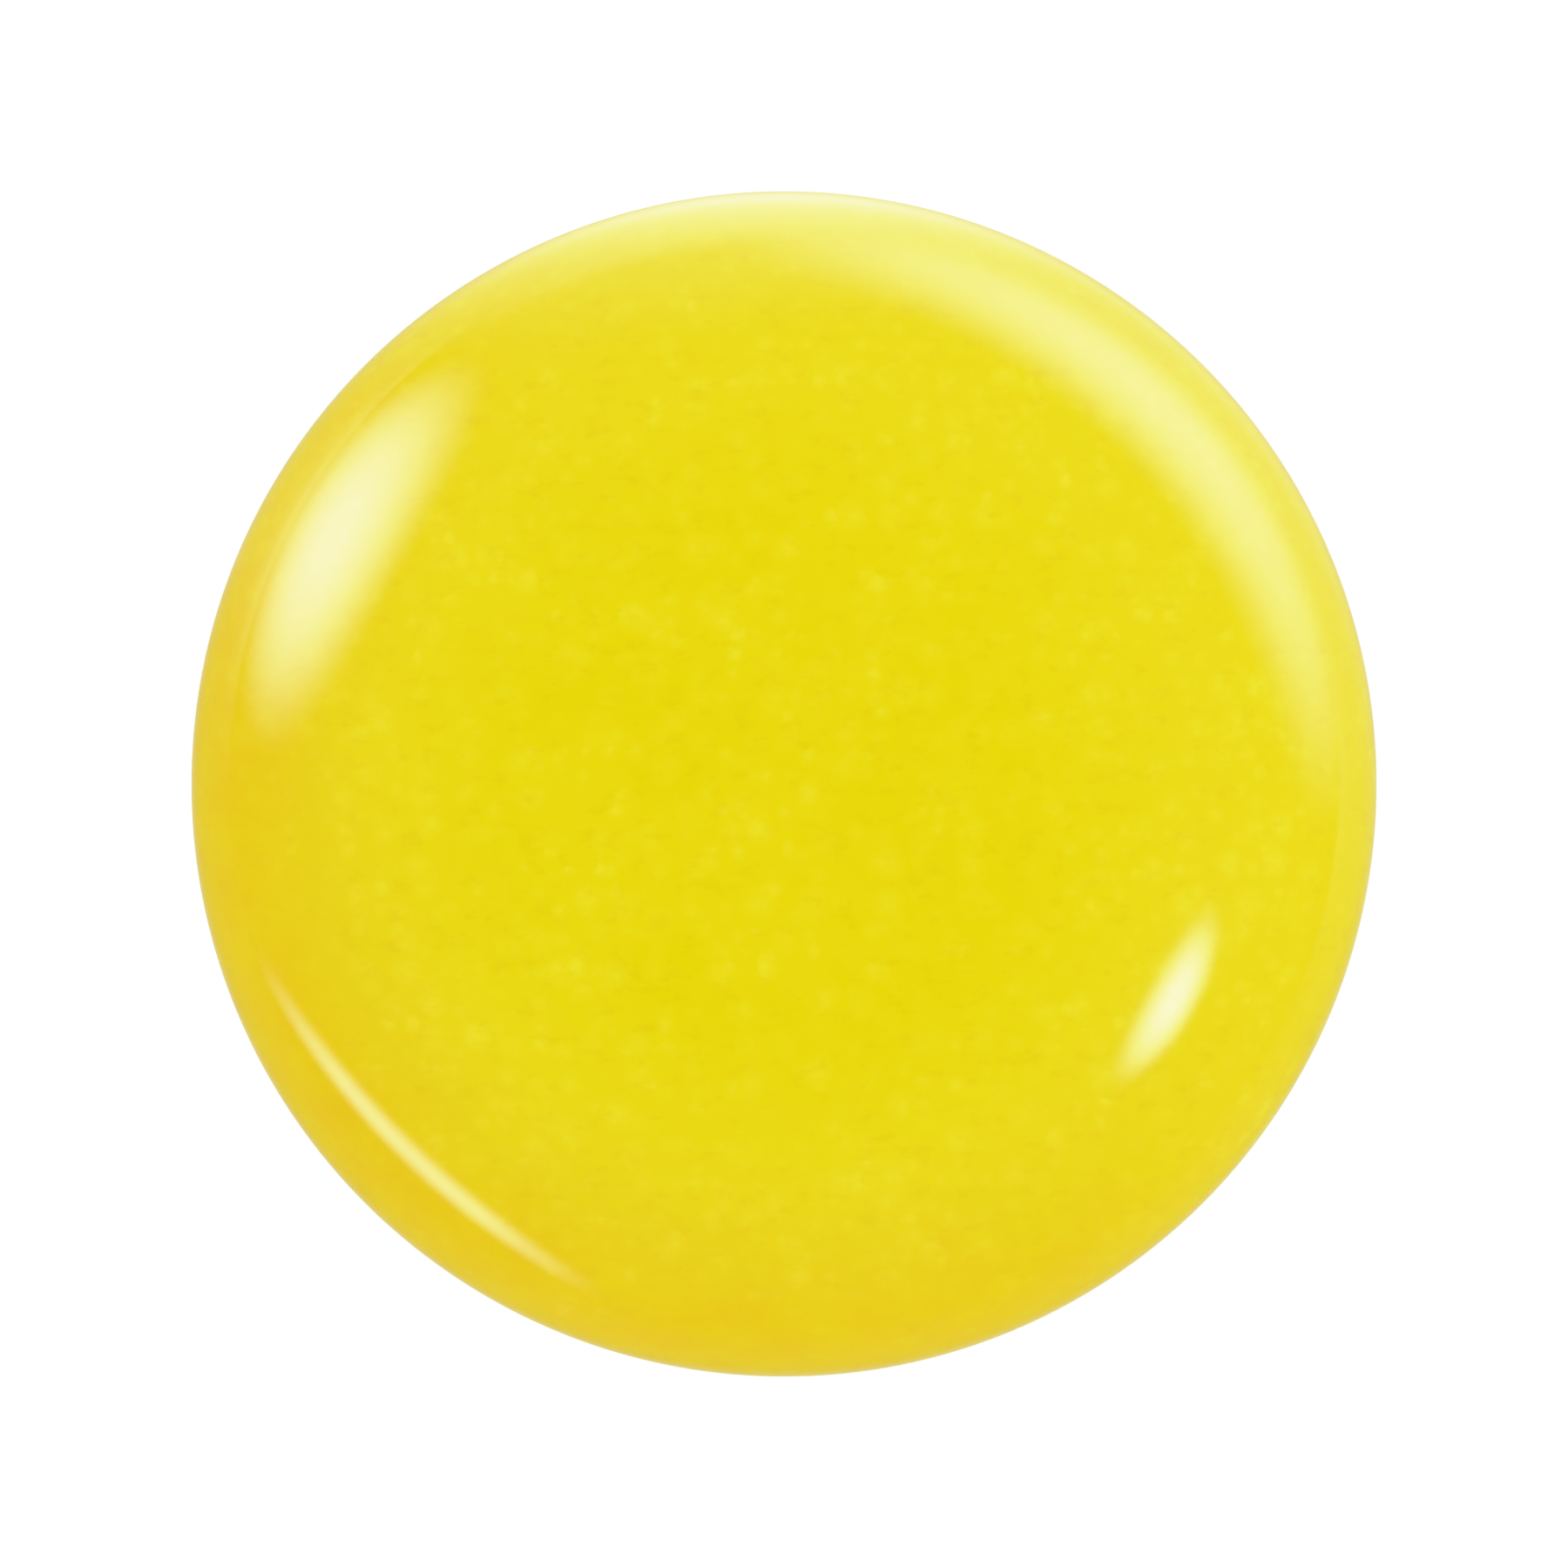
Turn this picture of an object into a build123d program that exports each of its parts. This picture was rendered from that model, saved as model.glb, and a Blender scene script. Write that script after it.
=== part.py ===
"""Table-top curling stone: a handle-less rolling stone for a table-top curling lane.

A low, glossy, domed cap closes over a moulded body. The body carries a steel
ballast disc and three ball transfer units, so the stone glides over the lane
on three captive steel balls. Everything is in millimetres, +Z up. The origin
is on the lane surface, under the middle of the stone, and the three roller
balls touch z = 0.
"""

from build123d import *
import math
import os

# ----------------------------------------------------------------------------
# Driving dimensions (mm)
# ----------------------------------------------------------------------------

# whole stone
STONE_R = 27.0            # striking band radius (54 mm stone)
STONE_H = 22.0            # lane surface to top of crown
BAND_TOP_Z = 12.5         # where the shoulder turns into the striking band
BAND_BOTTOM_Z = 8.7       # lower end of the cylindrical striking band

# top cap: crown and shoulder follow one smooth curve,
# r = R sin(t)^(2/P), z = band top + rise cos(t)
CROWN_P = 2.6             # 2 would be an ellipse, more is flatter with a rounder shoulder
CAP_WALL = 2.0
SKIRT_BOTTOM_Z = 7.9
SKIRT_LIP_R = 0.8         # rounding of the skirt's lower outer lip
CAP_BOSS_R = 3.1
CAP_BOSS_BOTTOM_Z = 8.2
CAP_PILOT_R = 1.10
CAP_PILOT_TOP_Z = 15.6
PRESS_RIB_RI, PRESS_RIB_RO = 8.0, 9.2   # ring under the crown that holds the pad down

# body (lower moulding)
BODY_BOTTOM_Z = 1.4       # underside, so the balls stand out 1.4 mm
BODY_LEDGE_Z = 7.3        # outer ledge that carries the seam seal
BODY_FLAT_R = 20.0        # flat part of the underside
BODY_SHOULDER_R = 6.6     # lower shoulder radius
BODY_TONGUE_RO = 24.8     # tongue that centres the cap
BODY_TONGUE_RI = 23.2
BODY_TONGUE_TOP_Z = 10.2
BODY_FLOOR_Z = 3.3
DISH_R, DISH_DEPTH = 5.2, 1.2           # shallow cup in the middle of the underside
UNIT_BOSS_R = 7.6
DECK_Z = 11.3             # tops of the unit bosses and centre post: ballast sits here
POST_R = 3.4
POST_TOP_Z = 8.1
POST_CLEAR_R = 1.5        # clearance hole for a case screw
HEAD_BORE_R = 2.4         # counterbore for a case screw head
HEAD_SEAT_Z = 3.4
CENTRE_PILOT_R = 1.25
RIB_T = 1.2
RIB_TOP_Z = 7.6
MOUTH_CHAMFER = 0.2       # chamfer on the mouths of the underside
LEDGE_CHAMFER = 0.22      # chamfer on the outer top edge
GATE_R, GATE_H = 0.6, 0.18   # moulding gate mark in the dish

# seam seal
SEAL_RI, SEAL_RO = 25.0, 26.05

# ball transfer unit
UNIT_PITCH_R = 13.0       # pitch radius of the three units
UNIT_ANGLES = (90.0, 210.0, 330.0)
BALL_R = 4.0
SUPPORT_R = 1.0
SUPPORT_COUNT = 11
SUPPORT_POLAR = 50.0      # degrees from straight up
RUN_GAP = 0.05            # running clearance at the balls
RETAINER_R = 6.9
RETAINER_TOP_Z = 2.3
RETAINER_GAP = 0.20       # clearance between retainer mouth and ball
RETAINER_COLLAR_R = 4.4   # raised collar round the ball
RETAINER_COLLAR_Z = 1.0   # its lowest face, 1 mm clear of the lane
STAKE_PITCH_R, STAKE_R, STAKE_DEPTH = 5.6, 0.45, 0.22   # punched marks that lock the retainer
HOUSING_RO, HOUSING_RI = 6.3, 5.7
HOUSING_ROOF_T = 0.6
FELT_RI, FELT_TOP_Z = 4.12, 3.4
RACE_BOTTOM_Z = 5.2
RACE_BOWL_R = 5.1         # spherical bowl of the race, about the ball centre

# ballast and its fixings
BALLAST_R = 21.5
BALLAST_T = 4.5
BALLAST_NOTCH_R = 3.6     # notches that clear the cap bosses
BALLAST_HOLE_R = 1.7
PAD_R, PAD_T = 12.5, 2.4

# screws
CASE_SCREW_PITCH_R = 17.0
CASE_SCREW_ANGLES = (30.0, 150.0, 270.0)
CASE_HEAD_R, CASE_HEAD_H = 2.1, 1.5
CASE_MINOR_R, CASE_MAJOR_R = 1.00, 1.30
CASE_LENGTH = 10.0
CSK_HEAD_R = 2.9
M3_MINOR_R, M3_MAJOR_R = 1.18, 1.50
M3_LENGTH = 8.0

RISE = STONE_H - BAND_TOP_Z


# ----------------------------------------------------------------------------
# Helpers
# ----------------------------------------------------------------------------

def polar(radius, degrees):
    a = math.radians(degrees)
    return radius * math.cos(a), radius * math.sin(a)


def dome_points(radius, rise, base_z, n=12):
    """Points (r, z) of the crown and shoulder curve, from the middle outwards."""
    pts = []
    for i in range(n + 1):
        t = (math.pi / 2) * i / n
        r = radius * math.sin(t) ** (2.0 / CROWN_P) if i else 0.0
        z = base_z + rise * math.cos(t)
        pts.append((r, z))
    pts[-1] = (radius, base_z)
    return pts


def dome_curve(radius, rise, base_z):
    pts = [Vector(r, 0, z) for r, z in dome_points(radius, rise, base_z)]
    return Edge.make_spline(pts, tangents=[Vector(1, 0, 0), Vector(0, 0, -1)])


def lathe(edges):
    """Solid of revolution about Z from a closed chain of edges in the XZ plane."""
    wire = Wire(edges)
    return revolve(Face(wire), axis=Axis.Z, revolution_arc=360)


def line(a, b):
    return Edge.make_line(Vector(a[0], 0, a[1]), Vector(b[0], 0, b[1]))


def arc(a, m, b):
    return Edge.make_three_point_arc(
        Vector(a[0], 0, a[1]), Vector(m[0], 0, m[1]), Vector(b[0], 0, b[1])
    )


def chain(points):
    return [line(points[i], points[(i + 1) % len(points)]) for i in range(len(points))]


def rod(radius, z0, z1, x=0.0, y=0.0):
    return Pos(x, y, z0) * Cylinder(
        radius, z1 - z0, align=(Align.CENTER, Align.CENTER, Align.MIN)
    )


def tube(ro, ri, z0, z1, x=0.0, y=0.0):
    return rod(ro, z0, z1, x, y) - rod(ri, z0 - 1, z1 + 1, x, y)


def bar(length, width, z0, z1, degrees, start):
    """Upright rib, running outwards from radius start at an angle."""
    b = Pos(start + length / 2, 0, (z0 + z1) / 2) * Box(length, width, z1 - z0)
    return Rot(0, 0, degrees) * b


def threaded_profile(z_head, z_tip, minor, major, pitch, direction):
    """(r, z) points down a ridged shank, from the head to the pointed tip."""
    pts = [(minor, z_head)]
    z = z_head + direction * 0.7
    pts.append((minor, z))
    while (z_tip - z) * direction > pitch + 0.9:
        pts.append((major, z + direction * pitch * 0.5))
        pts.append((minor, z + direction * pitch))
        z += direction * pitch
    pts.append((minor, z_tip - direction * 0.8))
    pts.append((minor * 0.35, z_tip))
    return pts


def cross_recess(z_face, depth, size, width, up):
    """Cross-head driver recess, cut from a face; up is +1 if the face looks up."""
    tool = None
    for a in (0, 90):
        b = Pos(0, 0, z_face - up * (depth / 2 - 0.1)) * Rot(0, 0, a) * Box(
            size, width, depth + 0.2
        )
        tool = b if tool is None else tool + b
    return tool


# ----------------------------------------------------------------------------
# Top cap
# ----------------------------------------------------------------------------

def make_top_cap():
    r_in = STONE_R - CAP_WALL
    lip_mid = (
        STONE_R - SKIRT_LIP_R * (1 - math.cos(math.radians(45))),
        SKIRT_BOTTOM_Z + SKIRT_LIP_R * (1 - math.sin(math.radians(45))),
    )
    shell = lathe(
        [
            dome_curve(STONE_R, RISE, BAND_TOP_Z),
            line((STONE_R, BAND_TOP_Z), (STONE_R, BAND_BOTTOM_Z)),
            arc((STONE_R, BAND_BOTTOM_Z), lip_mid, (STONE_R - SKIRT_LIP_R, SKIRT_BOTTOM_Z)),
            line((STONE_R - SKIRT_LIP_R, SKIRT_BOTTOM_Z), (r_in, SKIRT_BOTTOM_Z)),
            line((r_in, SKIRT_BOTTOM_Z), (r_in, BAND_TOP_Z)),
            dome_curve(r_in, RISE - CAP_WALL, BAND_TOP_Z),
            line((0, STONE_H - CAP_WALL), (0, STONE_H)),
        ]
    )
    # space that bosses and ribs may fill: it ends inside the cap's wall
    inside = lathe(
        [
            dome_curve(r_in + 0.6, RISE - CAP_WALL + 0.6, BAND_TOP_Z),
            line((r_in + 0.6, BAND_TOP_Z), (r_in + 0.6, SKIRT_BOTTOM_Z + 0.1)),
            line((r_in + 0.6, SKIRT_BOTTOM_Z + 0.1), (0, SKIRT_BOTTOM_Z + 0.1)),
            line((0, SKIRT_BOTTOM_Z + 0.1), (0, STONE_H - CAP_WALL + 0.6)),
        ]
    )
    ribs = None
    pilots = None
    for a in CASE_SCREW_ANGLES:
        x, y = polar(CASE_SCREW_PITCH_R, a)
        boss = rod(CAP_BOSS_R, CAP_BOSS_BOTTOM_Z, STONE_H, x, y)
        # gusset from each boss to the skirt
        gusset = bar(8.4, 1.1, 12.0, STONE_H, a, CASE_SCREW_PITCH_R)
        piece = boss + gusset
        ribs = piece if ribs is None else ribs + piece
        pilot = rod(CAP_PILOT_R, CAP_BOSS_BOTTOM_Z - 1, CAP_PILOT_TOP_Z, x, y)
        pilots = pilot if pilots is None else pilots + pilot
    pad_top = DECK_Z + BALLAST_T + PAD_T
    ribs = ribs + tube(PRESS_RIB_RO, PRESS_RIB_RI, pad_top, STONE_H)
    cap = shell + (ribs & inside)
    return cap - pilots


# ----------------------------------------------------------------------------
# Body
# ----------------------------------------------------------------------------

def mouth_chamfer(radius):
    """Cone that breaks the edge of a round mouth in the underside."""
    z, c = BODY_BOTTOM_Z, MOUTH_CHAMFER
    return lathe(chain([(0, z - 0.5), (radius + c + 0.5, z - 0.5), (radius, z + c), (0, z + c)]))


def make_body():
    cz = BODY_BOTTOM_Z + BODY_SHOULDER_R

    def on_shoulder(z, radius, centre_z):
        return BODY_FLAT_R + math.sqrt(radius**2 - (centre_z - z) ** 2)

    z_top = BODY_LEDGE_Z - LEDGE_CHAMFER
    r_top = on_shoulder(z_top, BODY_SHOULDER_R, cz)
    a_mid = math.radians(-40)
    mid = (
        BODY_FLAT_R + BODY_SHOULDER_R * math.cos(a_mid),
        cz + BODY_SHOULDER_R * math.sin(a_mid),
    )
    ri = BODY_TONGUE_RI - BODY_FLAT_R           # inner shoulder radius
    icz = BODY_FLOOR_Z + ri
    imid = (
        BODY_FLAT_R + ri * math.cos(math.radians(-45)),
        icz + ri * math.sin(math.radians(-45)),
    )
    shell = lathe(
        [
            line((0, BODY_BOTTOM_Z), (BODY_FLAT_R, BODY_BOTTOM_Z)),
            arc((BODY_FLAT_R, BODY_BOTTOM_Z), mid, (r_top, z_top)),
            line((r_top, z_top), (r_top - LEDGE_CHAMFER, BODY_LEDGE_Z)),
            line((r_top - LEDGE_CHAMFER, BODY_LEDGE_Z), (BODY_TONGUE_RO, BODY_LEDGE_Z)),
            line((BODY_TONGUE_RO, BODY_LEDGE_Z), (BODY_TONGUE_RO, BODY_TONGUE_TOP_Z - 0.4)),
            line((BODY_TONGUE_RO, BODY_TONGUE_TOP_Z - 0.4), (BODY_TONGUE_RO - 0.4, BODY_TONGUE_TOP_Z)),
            line((BODY_TONGUE_RO - 0.4, BODY_TONGUE_TOP_Z), (BODY_TONGUE_RI, BODY_TONGUE_TOP_Z)),
            line((BODY_TONGUE_RI, BODY_TONGUE_TOP_Z), (BODY_TONGUE_RI, icz)),
            arc((BODY_TONGUE_RI, icz), imid, (BODY_FLAT_R, BODY_FLOOR_Z)),
            line((BODY_FLAT_R, BODY_FLOOR_Z), (0, BODY_FLOOR_Z)),
            line((0, BODY_FLOOR_Z), (0, BODY_BOTTOM_Z)),
        ]
    )
    body = shell
    low = BODY_BOTTOM_Z + 0.6
    # centre post, unit bosses and screw posts
    body = body + rod(POST_R, low, DECK_Z)
    for a in UNIT_ANGLES:
        x, y = polar(UNIT_PITCH_R, a)
        body = body + rod(UNIT_BOSS_R, low, DECK_Z, x, y)
        body = body + bar(8.0, RIB_T, low, RIB_TOP_Z, a, 0.5)
    for a in CASE_SCREW_ANGLES:
        x, y = polar(CASE_SCREW_PITCH_R, a)
        body = body + rod(POST_R, low, POST_TOP_Z, x, y)
        body = body + bar(CASE_SCREW_PITCH_R - 1.0, RIB_T, low, RIB_TOP_Z, a, 0.5)
        body = body + bar(4.6, RIB_T, low + 2.6, RIB_TOP_Z, a, CASE_SCREW_PITCH_R + 2.2)
    # bores
    for a in UNIT_ANGLES:
        x, y = polar(UNIT_PITCH_R, a)
        body = body - rod(HOUSING_RO, BODY_BOTTOM_Z - 1, DECK_Z + 1, x, y)
        body = body - rod(RETAINER_R, BODY_BOTTOM_Z - 1, RETAINER_TOP_Z, x, y)
        body = body - Pos(x, y, 0) * mouth_chamfer(RETAINER_R)
    for a in CASE_SCREW_ANGLES:
        x, y = polar(CASE_SCREW_PITCH_R, a)
        body = body - rod(POST_CLEAR_R, BODY_BOTTOM_Z - 1, POST_TOP_Z + 1, x, y)
        body = body - rod(HEAD_BORE_R, BODY_BOTTOM_Z - 1, HEAD_SEAT_Z, x, y)
        body = body - Pos(x, y, 0) * mouth_chamfer(HEAD_BORE_R)
    body = body - rod(CENTRE_PILOT_R, 5.0, DECK_Z + 1)
    # shallow dish in the middle of the underside
    dish_r = (DISH_R**2 + DISH_DEPTH**2) / (2 * DISH_DEPTH)
    body = body - Pos(0, 0, BODY_BOTTOM_Z + DISH_DEPTH - dish_r) * Sphere(dish_r)
    apex = BODY_BOTTOM_Z + DISH_DEPTH
    return body + rod(GATE_R, apex - GATE_H, apex + 0.3)


def make_seam_seal():
    return tube(SEAL_RO, SEAL_RI, BODY_LEDGE_Z, SKIRT_BOTTOM_Z)


# ----------------------------------------------------------------------------
# Ball transfer unit, made on the Z axis and moved to its pitch circle
# ----------------------------------------------------------------------------

def ball_section_r(z):
    return math.sqrt(max(0.0, BALL_R**2 - (BALL_R - z) ** 2))


def make_retainer():
    def mouth(z):
        return ball_section_r(z) + RETAINER_GAP

    mid = (RETAINER_COLLAR_Z + RETAINER_TOP_Z) / 2
    ring = lathe(
        chain(
            [
                (mouth(RETAINER_COLLAR_Z), RETAINER_COLLAR_Z),
                (RETAINER_COLLAR_R - 0.50, RETAINER_COLLAR_Z),
                (RETAINER_COLLAR_R - 0.25, RETAINER_COLLAR_Z + 0.08),
                (RETAINER_COLLAR_R - 0.08, RETAINER_COLLAR_Z + 0.22),
                (RETAINER_COLLAR_R, BODY_BOTTOM_Z),
                (RETAINER_R - 0.25, BODY_BOTTOM_Z),
                (RETAINER_R, BODY_BOTTOM_Z + 0.25),
                (RETAINER_R, RETAINER_TOP_Z),
                (mouth(RETAINER_TOP_Z), RETAINER_TOP_Z),
                (mouth(mid), mid),
            ]
        )
    )
    # three punched marks, cone-shaped
    mark = lathe(
        chain([(0, -0.3), (STAKE_R + 0.3 * STAKE_R / STAKE_DEPTH, -0.3), (0, STAKE_DEPTH)])
    )
    for a in (30, 150, 270):
        x, y = polar(STAKE_PITCH_R, a)
        ring = ring - Pos(x, y, BODY_BOTTOM_Z) * mark
    return ring


def make_housing():
    return rod(HOUSING_RO, RETAINER_TOP_Z, DECK_Z) - rod(
        HOUSING_RI, RETAINER_TOP_Z - 1, DECK_Z - HOUSING_ROOF_T
    )


def make_felt():
    return tube(HOUSING_RI, FELT_RI, RETAINER_TOP_Z, FELT_TOP_Z)


def support_ring():
    d = BALL_R + SUPPORT_R + RUN_GAP
    a = math.radians(SUPPORT_POLAR)
    return d * math.sin(a), BALL_R + d * math.cos(a)


def make_race():
    rr, rz = support_ring()
    race = rod(HOUSING_RI, RACE_BOTTOM_Z, DECK_Z - HOUSING_ROOF_T)
    race = race - Pos(0, 0, BALL_R) * Sphere(RACE_BOWL_R)
    race = race - Pos(0, 0, rz) * Torus(rr, SUPPORT_R + RUN_GAP)
    return race


def make_support_balls():
    rr, rz = support_ring()
    balls = []
    for i in range(SUPPORT_COUNT):
        x, y = polar(rr, 360.0 * i / SUPPORT_COUNT)
        balls.append(Pos(x, y, rz) * Sphere(SUPPORT_R))
    return Compound(children=balls)


def make_ball():
    return Pos(0, 0, BALL_R) * Sphere(BALL_R)


# ----------------------------------------------------------------------------
# Ballast, pad and screws
# ----------------------------------------------------------------------------

def make_ballast():
    top = DECK_Z + BALLAST_T
    disc = lathe(
        chain(
            [
                (0, DECK_Z),
                (BALLAST_R - 0.5, DECK_Z),
                (BALLAST_R, DECK_Z + 0.5),
                (BALLAST_R, top - 0.8),
                (BALLAST_R - 0.8, top),
                (0, top),
            ]
        )
    )
    for a in CASE_SCREW_ANGLES:
        x, y = polar(CASE_SCREW_PITCH_R, a)
        disc = disc - rod(BALLAST_NOTCH_R, DECK_Z - 1, top + 1, x, y)
        disc = disc - bar(8.0, 2 * BALLAST_NOTCH_R, DECK_Z - 1, top + 1, a, CASE_SCREW_PITCH_R)
    disc = disc - rod(BALLAST_HOLE_R, DECK_Z - 1, top + 1)
    csk = CSK_HEAD_R + 0.15
    disc = disc - lathe(chain([(0, top - csk), (csk, top), (csk, top + 1), (0, top + 1)]))
    return disc


def make_pad():
    z0 = DECK_Z + BALLAST_T
    return rod(PAD_R, z0, z0 + PAD_T)


def make_case_screw():
    seat = HEAD_SEAT_Z
    low = seat - CASE_HEAD_H
    pts = [(0, low), (CASE_HEAD_R - 0.45, low), (CASE_HEAD_R, low + 0.45), (CASE_HEAD_R, seat)]
    pts += threaded_profile(seat, seat + CASE_LENGTH, CASE_MINOR_R, CASE_MAJOR_R, 0.9, 1)
    pts += [(0, seat + CASE_LENGTH)]
    screw = lathe(chain(pts))
    return screw - cross_recess(low, 0.95, 2.3, 0.5, -1)


def make_ballast_screw():
    top = DECK_Z + BALLAST_T
    neck = top - (CSK_HEAD_R - M3_MINOR_R)
    pts = [(0, top), (CSK_HEAD_R, top)]
    pts += threaded_profile(neck, top - M3_LENGTH - 2.0, M3_MINOR_R, M3_MAJOR_R, 0.5 * 1.6, -1)
    pts += [(0, top - M3_LENGTH - 2.0)]
    screw = lathe(chain(pts))
    return screw - cross_recess(top, 1.2, 3.2, 0.65, 1)


# ----------------------------------------------------------------------------
# Assembly
# ----------------------------------------------------------------------------

def main():
    os.makedirs("parts", exist_ok=True)
    parts = {
        "top_cap": make_top_cap(),
        "base_body": make_body(),
        "seam_seal": make_seam_seal(),
        "ballast_disc": make_ballast(),
        "ballast_screw": make_ballast_screw(),
        "damping_pad": make_pad(),
    }
    screw = make_case_screw()
    for n, a in enumerate(CASE_SCREW_ANGLES, 1):
        x, y = polar(CASE_SCREW_PITCH_R, a)
        parts[f"case_screw_{n}"] = Pos(x, y, 0) * Rot(0, 0, 17.0 * n) * screw
    unit = {
        "roller_retainer": make_retainer(),
        "roller_housing": make_housing(),
        "roller_wiper": make_felt(),
        "roller_race": make_race(),
        "roller_support_balls": make_support_balls(),
        "roller_ball": make_ball(),
    }
    for n, a in enumerate(UNIT_ANGLES, 1):
        x, y = polar(UNIT_PITCH_R, a)
        for name, shape in unit.items():
            parts[f"{name}_{n}"] = Pos(x, y, 0) * shape
    for name, shape in parts.items():
        export_step(shape, f"parts/{name}.step")
    print(len(parts), "parts written")


main()
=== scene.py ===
"""Looks of a handle-less table-top curling stone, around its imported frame. Metres, +Z up."""

import math

import bmesh
import bpy
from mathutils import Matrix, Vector


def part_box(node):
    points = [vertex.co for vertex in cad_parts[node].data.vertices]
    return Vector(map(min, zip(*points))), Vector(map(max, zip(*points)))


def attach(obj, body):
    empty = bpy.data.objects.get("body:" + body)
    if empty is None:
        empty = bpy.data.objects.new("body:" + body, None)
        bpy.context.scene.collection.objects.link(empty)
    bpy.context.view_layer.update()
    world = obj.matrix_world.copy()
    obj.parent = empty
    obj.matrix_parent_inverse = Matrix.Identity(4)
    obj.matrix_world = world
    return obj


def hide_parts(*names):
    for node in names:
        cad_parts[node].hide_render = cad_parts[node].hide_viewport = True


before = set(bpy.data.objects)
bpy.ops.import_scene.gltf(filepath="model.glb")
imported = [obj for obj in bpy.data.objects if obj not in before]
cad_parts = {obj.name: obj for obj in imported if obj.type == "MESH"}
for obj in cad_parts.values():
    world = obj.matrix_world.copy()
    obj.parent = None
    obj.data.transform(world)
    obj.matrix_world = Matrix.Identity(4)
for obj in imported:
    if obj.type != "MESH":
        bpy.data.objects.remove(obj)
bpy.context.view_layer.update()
MM = 0.001


# ----------------------------------------------------------------------------
# Small tools for node trees
# ----------------------------------------------------------------------------

class Tree:
    """A short way to write a material's nodes."""

    def __init__(self, name, old=None):
        self.mat = old or bpy.data.materials.new(name)
        self.mat.name = name
        self.mat.use_nodes = True
        self.t = self.mat.node_tree
        self.t.nodes.clear()
        self.out = self.t.nodes.new("ShaderNodeOutputMaterial")
        self.bsdf = self.t.nodes.new("ShaderNodeBsdfPrincipled")
        self.t.links.new(self.bsdf.outputs[0], self.out.inputs["Surface"])

    def node(self, kind, **values):
        n = self.t.nodes.new(kind)
        for k, v in values.items():
            setattr(n, k, v)
        return n

    def link(self, a, b):
        self.t.links.new(a, b)

    def feed(self, socket, value):
        if hasattr(value, "is_output"):
            self.link(value, socket)
        else:
            socket.default_value = value

    def coords(self):
        return self.node("ShaderNodeTexCoord").outputs["Object"]

    def offset(self, vec, origin):
        n = self.node("ShaderNodeVectorMath", operation="SUBTRACT")
        self.feed(n.inputs[0], vec)
        n.inputs[1].default_value = origin
        return n.outputs[0]

    def stretch(self, vec, factors):
        n = self.node("ShaderNodeVectorMath", operation="MULTIPLY")
        self.feed(n.inputs[0], vec)
        n.inputs[1].default_value = factors
        return n.outputs[0]

    def split(self, vec):
        n = self.node("ShaderNodeSeparateXYZ")
        self.feed(n.inputs[0], vec)
        return n.outputs[0], n.outputs[1], n.outputs[2]

    def radius(self, vec):
        """Distance from the Z axis."""
        flat = self.stretch(vec, (1, 1, 0))
        n = self.node("ShaderNodeVectorMath", operation="LENGTH")
        self.feed(n.inputs[0], flat)
        return n.outputs["Value"]

    def math(self, op, a, b=None, clamp=False):
        n = self.node("ShaderNodeMath", operation=op, use_clamp=clamp)
        self.feed(n.inputs[0], a)
        if b is not None:
            self.feed(n.inputs[1], b)
        return n.outputs[0]

    def noise(self, vec, scale, detail=2.0, rough=0.5, colour=False):
        n = self.node("ShaderNodeTexNoise")
        self.feed(n.inputs["Vector"], vec)
        n.inputs["Scale"].default_value = scale
        n.inputs["Detail"].default_value = detail
        n.inputs["Roughness"].default_value = rough
        return n.outputs["Color" if colour else "Fac"]

    def cells(self, vec, scale, feature="F1", output="Distance", jitter=1.0):
        n = self.node("ShaderNodeTexVoronoi", feature=feature)
        self.feed(n.inputs["Vector"], vec)
        n.inputs["Scale"].default_value = scale
        n.inputs["Randomness"].default_value = jitter
        return n.outputs[output]

    def ramp(self, value, stops, interpolation="LINEAR"):
        """stops: (position, grey or (r, g, b))."""
        n = self.node("ShaderNodeValToRGB")
        n.color_ramp.interpolation = interpolation
        e = n.color_ramp.elements
        while len(e) < len(stops):
            e.new(0.5)
        for item, (p, c) in zip(e, stops):
            item.position = p
            item.color = (c, c, c, 1) if isinstance(c, (int, float)) else (*c, 1)
        self.feed(n.inputs[0], value)
        return n.outputs[0]

    def span(self, value, lo, hi, out_lo=0.0, out_hi=1.0, smooth=False):
        n = self.node("ShaderNodeMapRange", clamp=True)
        if smooth:
            n.interpolation_type = "SMOOTHSTEP"
        self.feed(n.inputs["Value"], value)
        for k, v in (("From Min", lo), ("From Max", hi), ("To Min", out_lo), ("To Max", out_hi)):
            n.inputs[k].default_value = v
        return n.outputs[0]

    def mix(self, factor, a, b, mode="MIX"):
        n = self.node("ShaderNodeMix", data_type="RGBA", blend_type=mode)
        self.feed(n.inputs[0], factor)
        for socket, v in ((n.inputs[6], a), (n.inputs[7], b)):
            self.feed(socket, v if hasattr(v, "is_output") else (*v, 1))
        return n.outputs[2]

    def bump(self, height, distance, strength=1.0, normal=None):
        n = self.node("ShaderNodeBump")
        n.inputs["Strength"].default_value = strength
        n.inputs["Distance"].default_value = distance
        self.feed(n.inputs["Height"], height)
        if normal is not None:
            self.link(normal, n.inputs["Normal"])
        return n.outputs[0]

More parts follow.
